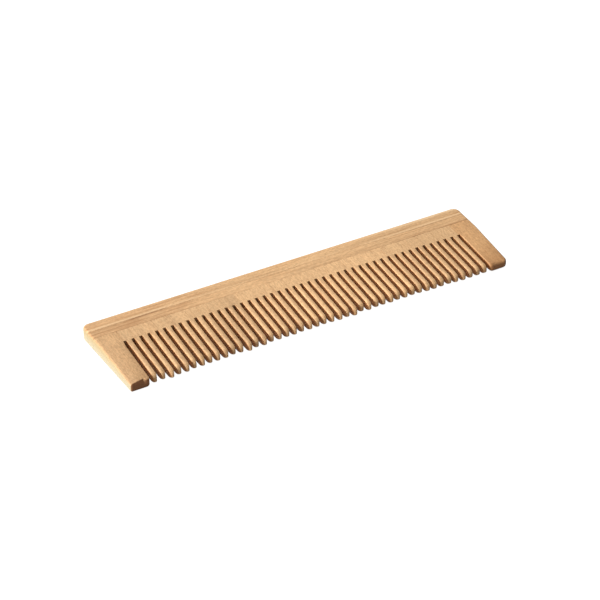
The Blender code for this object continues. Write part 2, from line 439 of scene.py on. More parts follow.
def tooth_plan(index):
    """The numbers of one tooth after grinding."""
    middle_x = FIRST_SLOT_X + (index + 0.5) * PITCH
    outwards = abs(middle_x / FIRST_SLOT_X)
    rightwards = max(0.0, -middle_x / FIRST_SLOT_X)
    shortfall = MIDDLE_SHORTFALL + (END_SHORTFALL - MIDDLE_SHORTFALL) * outwards ** 3
    shortfall = max(LEAST_SHORTFALL, shortfall + grinding.gauss(0.0, LENGTH_SPREAD) * MM)
    bluntness = 1 - RIGHT_BLUNTNESS * rightwards
    return {
        "x": middle_x,
        "tip_y": GUARD_TIP_Y + shortfall,
        "tip_shift": grinding.gauss(0.0, SIDEWAYS_SPREAD) * MM,
        "half_width": TOOTH_HALF_WIDTH * (1 + grinding.gauss(0.0, WIDTH_SPREAD)),
        "round": TOOTH_ROUND * (1 + grinding.gauss(0.0, ROUND_SPREAD)),
        "nose": NOSE_LENGTH * (1 + grinding.gauss(0.0, NOSE_SPREAD)) * bluntness,
    }


print(f"teeth {2 * TOOTH_HALF_WIDTH / MM:.2f} mm wide")

# %% A ring round a tooth
ARC_STEPS = 5
TOP_STEPS = 3


def rounded_ring(left, right, bottom, top, head_radius, foot_radius, crown):
    """Points (x, z) round a rectangle with rounded corners and a crowned top, from the top left,
    clockwise."""
    shoulder = top - crown
    corners = (
        (left + head_radius, shoulder - head_radius, head_radius, math.pi),
        (right - head_radius, shoulder - head_radius, head_radius, math.pi / 2),
        (right - foot_radius, bottom + foot_radius, foot_radius, 0.0),
        (left + foot_radius, bottom + foot_radius, foot_radius, -math.pi / 2),
    )
    points = []
    for number, (centre_x, centre_z, radius, start) in enumerate(corners):
        for step in range(ARC_STEPS + 1):
            angle = start - math.pi / 2 * step / ARC_STEPS
            x = centre_x + radius * math.cos(angle)
            points.append((x, centre_z + radius * math.sin(angle)))
        if number == 0:
            span = right - left - 2 * head_radius
            for step in range(1, TOP_STEPS + 1):
                share = step / (TOP_STEPS + 1)
                height = shoulder + crown * (1 - (2 * share - 1) ** 2)
                points.append((left + head_radius + span * share, height))
    return points


RING_POINTS = 4 * (ARC_STEPS + 1) + TOP_STEPS
print("a ring has", RING_POINTS, "points")

# %% How the rings close towards the point
NOSE_HEIGHT_LENGTH = 2.8 * MM  # where the top and bottom start to close
SIDE_CURVE, SIDE_BLUNTNESS = 2.2, 0.52
HEIGHT_CURVE, HEIGHT_BLUNTNESS = 2.0, 0.55
TIP_MIDDLE_Z = 1.50 * MM       # height of a tooth's point above the table
CROWN = 0.07 * MM              # how much lower a tooth's shoulders are than its middle
TOOTH_NOSE_ROUND = 0.60 * MM
TOOTH_FOOT_ROUND = 0.50 * MM
BUFFED_LENGTH = 2.8 * NOSE_LENGTH
FULLEST_ROUND = 0.98           # share of a ring's half size that its corners may take
NO_WIDTH = 1e-9                # keeps a closed ring from being divided by zero


def tooth_ring(tooth, share, left_root, right_root):
    """The ring at a share of the way from the slot root to the tip."""
    length = (left_root + right_root) / 2 - tooth["tip_y"]
    down = length * share
    to_tip = length - down
    side = max(0.0, 1 - to_tip / tooth["nose"])
    lift = max(0.0, 1 - to_tip / NOSE_HEIGHT_LENGTH)
    half_width = tooth["half_width"] * max(0.0, 1 - side ** SIDE_CURVE) ** SIDE_BLUNTNESS
    middle_x = tooth["x"] + tooth["tip_shift"] * share ** 3
    close = max(0.0, 1 - lift ** HEIGHT_CURVE) ** HEIGHT_BLUNTNESS
    top = TIP_MIDDLE_Z + (top_z(tooth["tip_y"] + to_tip) - TIP_MIDDLE_Z) * close
    bottom = TIP_MIDDLE_Z * (1 - close)
    nose = min(1.0, max(0.0, 1 - to_tip / BUFFED_LENGTH))
    full_round = tooth["round"] + (TOOTH_NOSE_ROUND - TOOTH_ROUND) * nose
    settled = min(1.0, down / FADE_LENGTH)
    crown = CROWN * settled * settled * (3 - 2 * settled) * half_width / tooth["half_width"]
    most = FULLEST_ROUND * min(half_width, (top - bottom - crown) / 2)
    head = min(fade(down, full_round), most)
    foot = min(fade(down, TOOTH_FOOT_ROUND), most)
    ring = []
    sides = middle_x - half_width, middle_x + half_width
    for x, z in rounded_ring(*sides, bottom, top, head, foot, crown):
        across = (x - middle_x) / max(half_width, NO_WIDTH) / 2 + 0.5
        start_y = left_root + (right_root - left_root) * across
        ring.append((x, start_y + (tooth["tip_y"] - start_y) * share, z))
    return ring


print(f"the points lie {TIP_MIDDLE_Z / MM:.1f} mm above the table")

# %% One tooth
SHANK_STEPS = 5
NOSE_STEPS = 18
NOSE_STATIONS_LENGTH = 1.30 * NOSE_LENGTH
TIP_CROWDING = 1.6             # how much closer the stations get towards the point


def station_shares(length):
    """Stations along a tooth: close together at the root and at the tip."""
    nose_start = length - NOSE_STATIONS_LENGTH
    downs = [FADE_LENGTH * step / FADE_STEPS for step in range(FADE_STEPS + 1)]
    middle = nose_start - FADE_LENGTH
    downs += [FADE_LENGTH + middle * step / SHANK_STEPS for step in range(1, SHANK_STEPS + 1)]
    for step in range(1, NOSE_STEPS + 1):
        left_over = (1 - step / NOSE_STEPS) ** TIP_CROWDING
        downs.append(length - (length - nose_start) * left_over)
    return [down / length for down in downs]


def add_tooth(shape, tooth, left_root, right_root):
    """Loft one tooth, and return its root ring in four stretches: the top, the right side, the
    two corners of the foot, and the left side."""
    rings = []
    for share in station_shares((left_root + right_root) / 2 - tooth["tip_y"]):
        if share < 1:
            ring = tooth_ring(tooth, share, left_root, right_root)
            rings.append([shape.verts.new(place) for place in ring])
    tip = shape.verts.new((tooth["x"] + tooth["tip_shift"], tooth["tip_y"], TIP_MIDDLE_Z))
    for inner, outer in zip(rings, rings[1:]):
        for a in range(RING_POINTS):
            b = (a + 1) % RING_POINTS
            shape.faces.new((inner[b], inner[a], outer[a], outer[b]))
    last = rings[-1]
    for a in range(RING_POINTS):
        shape.faces.new((last[(a + 1) % RING_POINTS], last[a], tip))
    root = rings[0]
    right_start = ARC_STEPS + TOP_STEPS + 1
    left_start = right_start + 2 * (ARC_STEPS + 1)
    return {
        "top": root[ARC_STEPS:right_start + 1],
        "right": root[right_start:left_start],
        "foot": [root[left_start], root[left_start - 1]],
        "left": root[left_start:] + root[:ARC_STEPS + 1],
    }


print("a tooth has", FADE_STEPS + SHANK_STEPS + NOSE_STEPS, "rings and a point")

# %% The plate behind the teeth
def add_plate(shape, low_x, high_x, roots, teeth):
    """The plate from the seam to the roots, and the square root of each slot."""
    def corner(x, y, z):
        return shape.verts.new((x, y, z))

    seam = SEAM_Y - JOINT_GAP
    left_root = corner(low_x, roots[0], top_z(roots[0])), corner(low_x, roots[0], 0.0)
    right_root = corner(high_x, roots[-1], top_z(roots[-1])), corner(high_x, roots[-1], 0.0)
    left_start = corner(low_x, PLANING_START_Y, THICKNESS)
    right_start = corner(high_x, PLANING_START_Y, THICKNESS)
    left_seam = corner(low_x, seam, THICKNESS), corner(low_x, seam, 0.0)
    right_seam = corner(high_x, seam, THICKNESS), corner(high_x, seam, 0.0)
    tops = [vertex for tooth in teeth for vertex in tooth["top"]]
    feet = [vertex for tooth in teeth for vertex in tooth["foot"]]
    shape.faces.new((left_start, right_start, right_seam[0], left_seam[0]))
    shape.faces.new([left_root[0]] + tops + [right_root[0], right_start, left_start])
    front_foot = [left_root[1]] + feet + [right_root[1]]
    shape.faces.new([left_seam[1], right_seam[1]] + front_foot[::-1])
    shape.faces.new((left_seam[1], left_seam[0], right_seam[0], right_seam[1]))
    shape.faces.new((left_root[1], left_root[0], left_start, left_seam[0], left_seam[1]))
    shape.faces.new((right_root[0], right_root[1], right_seam[1], right_seam[0], right_start))
    shape.faces.new([left_root[0], left_root[1]] + teeth[0]["left"])
    for tooth, following in zip(teeth, teeth[1:]):
        shape.faces.new(tooth["right"] + following["left"])
    shape.faces.new(teeth[-1]["right"] + [right_root[1], right_root[0]])


print(f"the plate is planed from {PLANING_START_Y / MM:.2f} mm on")

# %% Nine strips of five teeth
def tooth_strip(number):
    """Strip number 1 to 9: its teeth and the plate behind them as one body."""
    shape = bmesh.new()
    first = (number - 1) * TEETH_PER_STRIP
    low_x = FIRST_SLOT_X + first * PITCH + JOINT_GAP / 2
    high_x = low_x + TEETH_PER_STRIP * PITCH - JOINT_GAP
    roots = [root_y(FIRST_SLOT_X + (first + i) * PITCH) for i in range(TEETH_PER_STRIP + 1)]
    teeth = [
        add_tooth(shape, tooth_plan(first + index), roots[index], roots[index + 1])
        for index in range(TEETH_PER_STRIP)
    ]
    add_plate(shape, low_x, high_x, roots, teeth)
    return finished_mesh(f"tooth_strip_{number}_face", shape)


tooth_faces = [tooth_strip(number) for number in range(1, STRIP_COUNT + 1)]
for piece in tooth_faces:
    report(piece)

# %% [markdown]
# ## Bamboo
#
# Bamboo is pale brown fibre with darker bundles running along it. Cut lengthwise the bundles
# are thin streaks and short dashes, and on a sawn end they are dots. Noise that is stretched
# along the grain in three dimensions shows both by itself, so one node group serves every
# strip: it takes a position in millimetres with the grain along X, and a seed for the strip.


# %% A short way to write node trees
class Nodes:
    """Adds nodes to a tree; each method returns the output socket of what it added."""

    def __init__(self, tree):
        self.tree = tree

    def add(self, kind, settings=None, **inputs):
        node = self.tree.nodes.new(kind)
        for key, value in (settings or {}).items():
            setattr(node, key, value)
        for key, value in inputs.items():
            self.feed(node.inputs[key.replace("_", " ")], value)
        return node

    def feed(self, socket, value):
        if isinstance(value, bpy.types.NodeSocket):
            self.tree.links.new(value, socket)
        else:
            socket.default_value = value

    def math(self, operation, *values, clamp=False):
        node = self.tree.nodes.new("ShaderNodeMath")
        node.operation = operation
        node.use_clamp = clamp
        for socket, value in zip(node.inputs, values):
            self.feed(socket, value)
        return node.outputs[0]

    def remap(self, value, low, high, to_low=0.0, to_high=1.0):
        node = self.add("ShaderNodeMapRange", {"interpolation_type": "SMOOTHSTEP"})
        for socket, given in zip(node.inputs, (value, low, high, to_low, to_high)):
            self.feed(socket, given)
        return node.outputs[0]

    def stretch(self, vector, scale):
        node = self.add("ShaderNodeVectorMath", {"operation": "MULTIPLY"})
        self.feed(node.inputs[0], vector)
        self.feed(node.inputs[1], scale)
        return node.outputs[0]

    def noise(self, vector, scale, detail=2.0, roughness=0.5, distortion=0.0):
        node = self.add("ShaderNodeTexNoise", Vector=self.stretch(vector, scale), Scale=1.0)
        node.inputs["Detail"].default_value = detail
        node.inputs["Roughness"].default_value = roughness
        node.inputs["Distortion"].default_value = distortion
        return node.outputs[0]

    def blend(self, factor, first, second, mode="MIX"):
        node = self.add("ShaderNodeMix", {"data_type": "RGBA", "blend_type": mode})
        self.feed(node.inputs[0], factor)
        self.feed(node.inputs[6], first)
        self.feed(node.inputs[7], second)
        return node.outputs[2]


def new_group(name, inputs, outputs):
    """An empty node group with named sockets, and its node writer, input and output nodes."""
    tree = bpy.data.node_groups.new(name, "ShaderNodeTree")
    for title, kind, value in inputs:
        socket = tree.interface.new_socket(title, in_out="INPUT", socket_type=f"NodeSocket{kind}")
        if value is not None:
            socket.default_value = value
    for title, kind in outputs:
        tree.interface.new_socket(title, in_out="OUTPUT", socket_type=f"NodeSocket{kind}")
    nodes = Nodes(tree)
    return nodes, nodes.add("NodeGroupInput").outputs, nodes.add("NodeGroupOutput").inputs


def srgb(red, green, blue):
    """A colour given as 0 to 255, as a maker would read it off a swatch."""
    def linear(value):
        value /= 255
        return value / 12.92 if value <= 0.04045 else ((value + 0.055) / 1.055) ** 2.4
    return (linear(red), linear(green), linear(blue), 1.0)


LENGTHWISE = srgb(222, 180, 132)
FIBRE = srgb(168, 116, 70)
print("bamboo, as a linear colour:", [round(value, 3) for value in LENGTHWISE[:3]])

# %% The bamboo group
# How often each pattern repeats per millimetre, along the grain and across it.
CLOUD = (0.03, 0.20, 0.20)         # slow change of tone
STREAK = (0.035, 1.3, 1.3)         # long dark streaks
FINE_FIBRE = (0.12, 5.0, 5.0)
BUNDLE = (0.55, 2.0, 2.0)          # short dashes
SPECKLE = (0.75, 1.6, 1.6)         # light and dark specks
CLOUD_TONES = (0.93, 1.06)
SPECKLE_TONES = (0.87, 1.115)
BETWEEN_STREAKS = (1.05, 1.0)      # the palest stretches are a little lighter
FINE_STRENGTH = 0.16
ROUGHNESSES = (0.40, 0.54)


def bamboo_group():
    nodes, given, out = new_group(
        "bamboo_grain",
        [
            ("Position", "Vector", None),
            ("Seed", "Float", 0.0),
            ("Ground", "Color", LENGTHWISE),
            ("Fibre", "Color", FIBRE),
            ("Streaks", "Float", 0.3),
            ("Flecks", "Float", 0.3),
        ],
        [("Color", "Color"), ("Roughness", "Float"), ("Height", "Float")],
    )
    shift = nodes.add("ShaderNodeCombineXYZ", X=given["Seed"], Y=given["Seed"], Z=given["Seed"])
    place = nodes.add("ShaderNodeVectorMath", {"operation": "ADD"})
    nodes.feed(place.inputs[0], given["Position"])
    nodes.feed(place.inputs[1], shift.outputs[0])
    place = place.outputs[0]

    cloud = nodes.noise(place, CLOUD, detail=2.0)
    streak = nodes.noise(place, STREAK, detail=5.0, roughness=0.62, distortion=0.15)
    fibre = nodes.noise(place, FINE_FIBRE, detail=3.0, roughness=0.6)
    bundle = nodes.noise(place, BUNDLE, detail=2.0, roughness=0.55)
    speckle = nodes.noise(place, SPECKLE, detail=2.0, roughness=0.6)

    streaks = nodes.remap(streak, 0.46, 0.74)
    streaks = nodes.math("MULTIPLY", streaks, given["Streaks"])
    dashes = nodes.remap(bundle, 0.52, 0.68)
    dashes = nodes.math("MULTIPLY", dashes, nodes.remap(fibre, 0.40, 0.60, 0.3, 1.0))
    dashes = nodes.math("MULTIPLY", dashes, given["Flecks"])
    fine = nodes.math("MULTIPLY", nodes.remap(fibre, 0.45, 0.75), FINE_STRENGTH)
    dark = nodes.math("ADD", nodes.math("ADD", streaks, dashes), fine, clamp=True)

    colour = nodes.blend(dark, given["Ground"], given["Fibre"])
    lift = nodes.remap(cloud, 0.3, 0.7, *CLOUD_TONES)
    lift = nodes.math("MULTIPLY", lift, nodes.remap(streak, 0.20, 0.46, *BETWEEN_STREAKS))
    lift = nodes.math("MULTIPLY", lift, nodes.remap(speckle, 0.32, 0.68, *SPECKLE_TONES))
    grey = nodes.add("ShaderNodeCombineColor", Red=lift, Green=lift, Blue=lift)
    colour = nodes.blend(1.0, colour, grey.outputs[0], mode="MULTIPLY")
    nodes.feed(out["Color"], colour)
    nodes.feed(out["Roughness"], nodes.remap(fibre, 0.3, 0.7, *ROUGHNESSES))
    height = nodes.math("SUBTRACT", nodes.math("MULTIPLY", fibre, 0.6), dashes)
    height = nodes.math("SUBTRACT", height, nodes.math("MULTIPLY", streak, 0.5))
    nodes.feed(out["Height"], height)
    return nodes.tree


BAMBOO = bamboo_group()
print("group:", BAMBOO.name, "with", len(BAMBOO.nodes), "nodes")


# %% [markdown]
# ## Lines along a joint
#
# Glue soaks into the fibres on both sides of a joint and darkens them in a line that isn't
# quite even, and here and there a fibre bundle gives the same kind of line inside a strip.
# One group draws such a line at a given depth in the comb. Its strength can differ between the
# left end, the middle and the right end.
# The same group also paints a highlight along the back edge at the right end.


# %% The line group
LEFT_PART = (-62.0, -20.0)         # where the left end's strength fades out, in millimetres
RIGHT_PART = (25.0, 72.0)          # where the right end's strength comes in
WANDER = 0.5                       # millimetres


def line_group():
    nodes, given, out = new_group(
        "line_along",
        [
            ("Position", "Vector", None),
            ("Depth", "Float", 0.0),
            ("Half Width", "Float", 0.2),
            ("Left", "Float", 0.5),
            ("Middle", "Float", 0.3),
            ("Right", "Float", 0.5),
        ],
        [("Mask", "Float")],
    )
    parts = nodes.add("ShaderNodeSeparateXYZ", Vector=given["Position"]).outputs
    wander = nodes.noise(given["Position"], (0.02, 0.0, 0.0), detail=3.0)
    wander = nodes.math("MULTIPLY", nodes.math("SUBTRACT", wander, 0.5), WANDER)
    away = nodes.math("SUBTRACT", nodes.math("SUBTRACT", parts[1], given["Depth"]), wander)
    away = nodes.math("ABSOLUTE", away)
    uneven = nodes.noise(given["Position"], (0.09, 0.6, 0.0), detail=4.0, roughness=0.6)
    width = nodes.math("MULTIPLY", given["Half Width"], nodes.remap(uneven, 0.3, 0.7, 0.55, 1.4))
    line = nodes.math("SUBTRACT", 1.0, nodes.math("DIVIDE", away, width), clamp=True)
    line = nodes.remap(line, 0.0, 0.75)
    left = nodes.remap(parts[0], *LEFT_PART, 1.0, 0.0)
    right = nodes.remap(parts[0], *RIGHT_PART)
    middle = nodes.math("SUBTRACT", nodes.math("SUBTRACT", 1.0, left), right, clamp=True)
    strength = nodes.math("MULTIPLY", left, given["Left"])
    strength = nodes.math("MULTIPLY_ADD", right, given["Right"], strength)
    strength = nodes.math("MULTIPLY_ADD", middle, given["Middle"], strength)
    broken = nodes.remap(uneven, 0.30, 0.62, 0.45, 1.1)
    strength = nodes.math("MULTIPLY", strength, broken)
    nodes.feed(out["Mask"], nodes.math("MULTIPLY", line, strength, clamp=True))
    return nodes.tree


LINE = line_group()
print("group:", LINE.name, "with", len(LINE.nodes), "nodes")


# %% [markdown]
# ## Darker towards the tips
#
# The wood darkens and reddens towards the ends of the teeth and the guards. A gradient alone
# would look sprayed on, so noise moves its edge up and down in patches.


# %% The darkening group
PATCHINESS = 14.0                  # how far, in millimetres, the patches reach up and down
PATCH = (0.55, 0.22, 0.55)         # how often they repeat per millimetre


def toning_group():
    nodes, given, out = new_group(
        "tip_toning",
        [
            ("Position", "Vector", None),
            ("Color", "Color", LENGTHWISE),
            ("Tip Tone", "Color", srgb(150, 92, 42)),
            ("Start", "Float", -14.0),
            ("End", "Float", -22.0),
            ("Strength", "Float", 0.3),
        ],
        [("Color", "Color")],
    )
    parts = nodes.add("ShaderNodeSeparateXYZ", Vector=given["Position"]).outputs
    patchy = nodes.noise(given["Position"], PATCH, detail=3.0)
    depth = nodes.math("MULTIPLY_ADD", nodes.math("SUBTRACT", patchy, 0.5), PATCHINESS, parts[1])
    amount = nodes.remap(depth, given["Start"], given["End"])
    amount = nodes.math("MULTIPLY", amount, given["Strength"], clamp=True)
    nodes.feed(out["Color"], nodes.blend(amount, given["Color"], given["Tip Tone"]))
    return nodes.tree


TONING = toning_group()
print("group:", TONING.name, "with", len(TONING.nodes), "nodes")


# %% [markdown]
# ## Faces tinted by the way they look
#
# The walls of a slot get painted shade, deeper at their foot, with some browning from the
# saw. The noses of the teeth get painted shade, and the fronts of the guards painted shade with
# some browning from the belt. The left end is pale and dusty, with painted bounce light that
# makes its foot paler near the table, and painted shade makes the right end's rim darker than
# its top. All of these depend on which way a face looks, so one group tints the faces that look
# in a given direction and leaves the others as they were. Its tint can differ between the foot
# and the top of a face.


# %% The facing group
LOW_TINT_HEIGHT = 0.5              # millimetres above the table
HIGH_TINT_HEIGHT = 5.5


def facing_group():
    nodes, given, out = new_group(
        "facing_tint_and_painted_light",
        [
            ("Normal", "Vector", None),
            ("Facing", "Vector", (1.0, 0.0, 0.0)),
            ("Color", "Color", LENGTHWISE),
            ("Tint", "Color", srgb(120, 78, 44)),
            ("Low Tint", "Color", srgb(120, 78, 44)),
            ("Height", "Float", 0.0),
            ("Strength", "Float", 0.5),
            ("From", "Float", 0.55),
            ("Full", "Float", 0.98),
        ],
        [("Color", "Color")],
    )
    turned = nodes.add("ShaderNodeVectorMath", {"operation": "DOT_PRODUCT"})
    nodes.feed(turned.inputs[0], given["Normal"])
    nodes.feed(turned.inputs[1], given["Facing"])
    mask = nodes.remap(turned.outputs["Value"], given["From"], given["Full"])
    mask = nodes.math("MULTIPLY", mask, given["Strength"], clamp=True)
    # The low tint paints deeper shade at the foot of slot walls, and bounce light at the left
    # end's foot.
    upper = nodes.remap(given["Height"], LOW_TINT_HEIGHT, HIGH_TINT_HEIGHT)
    tint = nodes.blend(upper, given["Low Tint"], given["Tint"])
    nodes.feed(out["Color"], nodes.blend(mask, given["Color"], tint))
    return nodes.tree


FACING = facing_group()
print("group:", FACING.name, "with", len(FACING.nodes), "nodes")


# %% [markdown]
# ## One material per strip
#
# Every strip was cut from another stalk, so each has its own seed and tone. The spine strips
# carry the lines, the teeth and guards carry the seam's line and the toned tips, and each has
# its own tinted faces. The finish is a thin rubbed oil: half matte, with a fine relief from the
# fibres.


# %% How a material uses the groups
def place_group(nodes, group, linked, values):
    """Place a node group with its linked inputs and its own values."""
    node = nodes.add("ShaderNodeGroup", {"node_tree": group}, **linked)
    for title, value in values.items():
        node.inputs[title].default_value = value
    return node.outputs


def with_lines(nodes, place, colour, lines):
    """Lines are (depth, half width, left, middle, right, colour)."""
    for *values, shade in lines:
        titled = dict(zip(("Depth", "Half Width", "Left", "Middle", "Right"), values))
        line = place_group(nodes, LINE, {"Position": place}, titled)
        colour = nodes.blend(line["Mask"], colour, shade)
    return colour


def with_tinted_faces(nodes, place, colour, faces):
    """Faces are (direction, colour at the top, colour at the foot, strength, where the tint
    starts, where it is full)."""
    normal = nodes.add("ShaderNodeNewGeometry").outputs["Normal"]
    height = nodes.add("ShaderNodeSeparateXYZ", Vector=place).outputs["Z"]
    for values in faces:
        titled = dict(zip(("Facing", "Tint", "Low Tint", "Strength", "From", "Full"), values))
        linked = {"Normal": normal, "Color": colour, "Height": height}
        colour = place_group(nodes, FACING, linked, titled)["Color"]
    return colour


def scaled_tone(colour, tone):
    return tuple(value * tone for value in colour[:3]) + (1.0,)


print("groups ready:", ", ".join(group.name for group in (BAMBOO, LINE, TONING, FACING)))

# %% A strip's material
BUMP_STRENGTH = 0.35
BUMP_DEPTH = 0.06 * MM
OIL_SPECULAR = 0.30


def bamboo_material(name, ground, tone, seed, crosswise, lines, faces, tip_darkening=None,
                    streaks=0.32, flecks=0.3):
    """A strip's material, with the grain along the comb or across it."""
    material = bpy.data.materials.new(name)
    material.use_nodes = True
    tree = material.node_tree
    tree.nodes.clear()
    nodes = Nodes(tree)
    where = nodes.add("ShaderNodeTexCoord").outputs["Object"]
    place = nodes.stretch(where, (1 / MM, 1 / MM, 1 / MM))
    grain_place = place
    if crosswise:
        parts = nodes.add("ShaderNodeSeparateXYZ", Vector=place).outputs
        turned = nodes.add("ShaderNodeCombineXYZ", X=parts[1], Y=parts[0], Z=parts[2])
        grain_place = turned.outputs[0]
    grain = place_group(nodes, BAMBOO, {"Position": grain_place}, {
        "Seed": seed,
        "Ground": scaled_tone(ground, tone),
        "Fibre": scaled_tone(FIBRE, tone),
        "Streaks": streaks,
        "Flecks": flecks,
    })
    colour = with_lines(nodes, place, grain["Color"], lines)
    if tip_darkening:
        titled = dict(zip(("Start", "End", "Strength"), tip_darkening))
        linked = {"Position": place, "Color": colour}
        colour = place_group(nodes, TONING, linked, titled)["Color"]
    colour = with_tinted_faces(nodes, place, colour, faces)
    bump = nodes.add("ShaderNodeBump", Height=grain["Height"])
    bump.inputs["Strength"].default_value = BUMP_STRENGTH
    bump.inputs["Distance"].default_value = BUMP_DEPTH
    surface = nodes.add("ShaderNodeBsdfPrincipled", Base_Color=colour)
    nodes.feed(surface.inputs["Roughness"], grain["Roughness"])
    nodes.feed(surface.inputs["Normal"], bump.outputs["Normal"])
    surface.inputs["Specular IOR Level"].default_value = OIL_SPECULAR
    output = nodes.add("ShaderNodeOutputMaterial")
    tree.links.new(surface.outputs[0], output.inputs["Surface"])
    return material


print("relief of the fibres:", round(BUMP_DEPTH / MM, 3), "mm")

# %% Tints of faces: browning, dust, and painted shade and light
LEFT, RIGHT, FRONT = (-1.0, 0.0, 0.0), (1.0, 0.0, 0.0), (0.0, -1.0, 0.0)
# Painted shade of the slots on their walls, with some browning from the saw, deeper at the foot.
SAW_BROWNING_AND_PAINTED_SHADE = srgb(188, 118, 60)
DEEP_SAW_BROWNING_AND_PAINTED_SHADE = srgb(160, 92, 42)
# Painted shade on the front faces of the teeth's noses.
PAINTED_NOSE_SHADE = srgb(112, 84, 58)
# Painted shade on the faces that look right, away from the lights.
PAINTED_RIGHT_SHADE = srgb(104, 84, 64)
# Painted shade on the front faces of the guards, with some browning from the belt.
BELT_BROWNING_AND_PAINTED_SHADE = srgb(116, 70, 38)
DUST = srgb(184, 161, 120)
# Painted bounce light from the table: the left end's dusty tint turns paler towards its foot.
DUST_AND_PAINTED_BOUNCE_LIGHT = srgb(190, 179, 152)
LEFT_DUST_AND_PAINTED_BOUNCE_LIGHT = (LEFT, DUST, DUST_AND_PAINTED_BOUNCE_LIGHT, 1.0, 0.6, 0.98)
PAINTED_RIGHT_RIM_SHADE = (RIGHT, PAINTED_RIGHT_SHADE, PAINTED_RIGHT_SHADE, 0.80, 0.02, 0.40)
SPINE_ENDS = [LEFT_DUST_AND_PAINTED_BOUNCE_LIGHT, PAINTED_RIGHT_RIM_SHADE]
# The slot walls carry painted shade, deeper near the table, with some saw browning.
SLOT_WALLS = [(way, SAW_BROWNING_AND_PAINTED_SHADE, DEEP_SAW_BROWNING_AND_PAINTED_SHADE, 0.65, 0.70, 0.98) for way in (LEFT, RIGHT)]
TOOTH_FACES = SLOT_WALLS + [(FRONT, PAINTED_NOSE_SHADE, PAINTED_NOSE_SHADE, 0.5, 0.60, 0.94)]
print(len(TOOTH_FACES), "tints on a tooth,", len(SPINE_ENDS), "on a spine strip")

# %% Bamboo of the spine strips
GLUE_SHADE = srgb(140, 90, 52)
FIBRE_SHADE = srgb(166, 112, 66)
# A pale fibre line inside the strip, and also a painted highlight on the back edge.
PALE_FIBRE_AND_PAINTED_HIGHLIGHT = srgb(240, 205, 160)
GLUE_LINE = (STRIP_LINE_Y / MM, 0.50, 0.60, 0.06, 0.32, GLUE_SHADE)
SEAM_LINE = (SEAM_Y / MM, 0.28, 0.22, 0.04, 0.50, GLUE_SHADE)
OUTER_LINES = [
    GLUE_LINE,
    (18.4, 3.6, 0.24, 0.00, 0.12, FIBRE_SHADE),
    (16.5, 0.65, 0.50, 0.10, 0.50, PALE_FIBRE_AND_PAINTED_HIGHLIGHT),
    (17.8, 0.55, 0.30, 0.04, 0.22, FIBRE_SHADE),
    (19.7, 0.45, 0.25, 0.20, 0.00, FIBRE_SHADE),
    # A painted highlight where the back edge's roundover catches the light at the right end.
    (20.3, 0.90, 0.00, 0.00, 0.70, PALE_FIBRE_AND_PAINTED_HIGHLIGHT),
]
INNER_LINES = [
    (12.7, 3.4, 0.34, 0.05, 0.12, FIBRE_SHADE),
    (11.2, 0.50, 0.25, 0.08, 0.22, FIBRE_SHADE),
    (13.1, 0.45, 0.50, 0.12, 0.12, FIBRE_SHADE),
    (14.3, 0.40, 0.10, 0.05, 0.40, FIBRE_SHADE),
    (14.9, 0.42, 0.45, 0.00, 0.10, FIBRE_SHADE),
    GLUE_LINE,
    SEAM_LINE,
]
outer_bamboo = bamboo_material(
    "bamboo_outer_strip", LENGTHWISE, tone=1.05, seed=3.0, crosswise=False,
    lines=OUTER_LINES, faces=SPINE_ENDS, streaks=0.5,
)
inner_bamboo = bamboo_material(
    "bamboo_inner_strip", LENGTHWISE, tone=1.02, seed=47.0, crosswise=False,
    lines=INNER_LINES, faces=SPINE_ENDS, streaks=0.45,
)
print("lines:", len(OUTER_LINES), "on the outer strip,", len(INNER_LINES), "on the inner one")

# %% Bamboo of the teeth
CROSSWISE = srgb(223, 181, 133)
TOOTH_TIP_DARKENING = (-18.5, -23.0, 0.12)
STRIP_TONES = (0.985, 0.96, 0.915, 1.035, 1.09, 1.09, 1.09, 0.975, 0.98)
strip_bamboo = [
    bamboo_material(
        f"bamboo_tooth_strip_{number}", CROSSWISE, tone=tone, seed=90.0 + 37.0 * number,
        crosswise=True, lines=[SEAM_LINE], faces=TOOTH_FACES, tip_darkening=TOOTH_TIP_DARKENING, flecks=0.36,
    )
    for number, tone in enumerate(STRIP_TONES, start=1)
]
print(len(strip_bamboo), "strips of crosswise bamboo")

# %% Bamboo of the guards
# The guards' fronts carry painted shade, with some browning from the belt.
LEFT_FRONT = (FRONT, BELT_BROWNING_AND_PAINTED_SHADE, BELT_BROWNING_AND_PAINTED_SHADE, 0.9, 0.42, 0.72)
RIGHT_FRONT = (FRONT, BELT_BROWNING_AND_PAINTED_SHADE, BELT_BROWNING_AND_PAINTED_SHADE, 0.75, 0.55, 0.98)
left_bamboo = bamboo_material(
    "bamboo_left_guard", srgb(216, 173, 125), tone=0.945, seed=511.0, crosswise=True,
    lines=[SEAM_LINE], faces=[LEFT_DUST_AND_PAINTED_BOUNCE_LIGHT, SLOT_WALLS[1], LEFT_FRONT],
    tip_darkening=(-16.0, -23.0, 0.05), flecks=0.45,
)
right_bamboo = bamboo_material(
    "bamboo_right_guard", srgb(208, 162, 113), tone=1.05, seed=633.0, crosswise=True,
    lines=[SEAM_LINE], faces=[PAINTED_RIGHT_RIM_SHADE, SLOT_WALLS[0], RIGHT_FRONT],
    tip_darkening=(-4.0, -22.0, 0.38), flecks=0.45,
)
print(len(bpy.data.materials), "materials")

# %% [markdown]
# ## On the frame
#
# Each finished strip stands for its node of the imported model, which is hidden, rides on its
# body, and gets its own bamboo material.


# %% Put each strip in place
def settle(piece, node, material):
    piece.data.materials.append(material)
    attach(piece, "root")
    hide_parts(node)


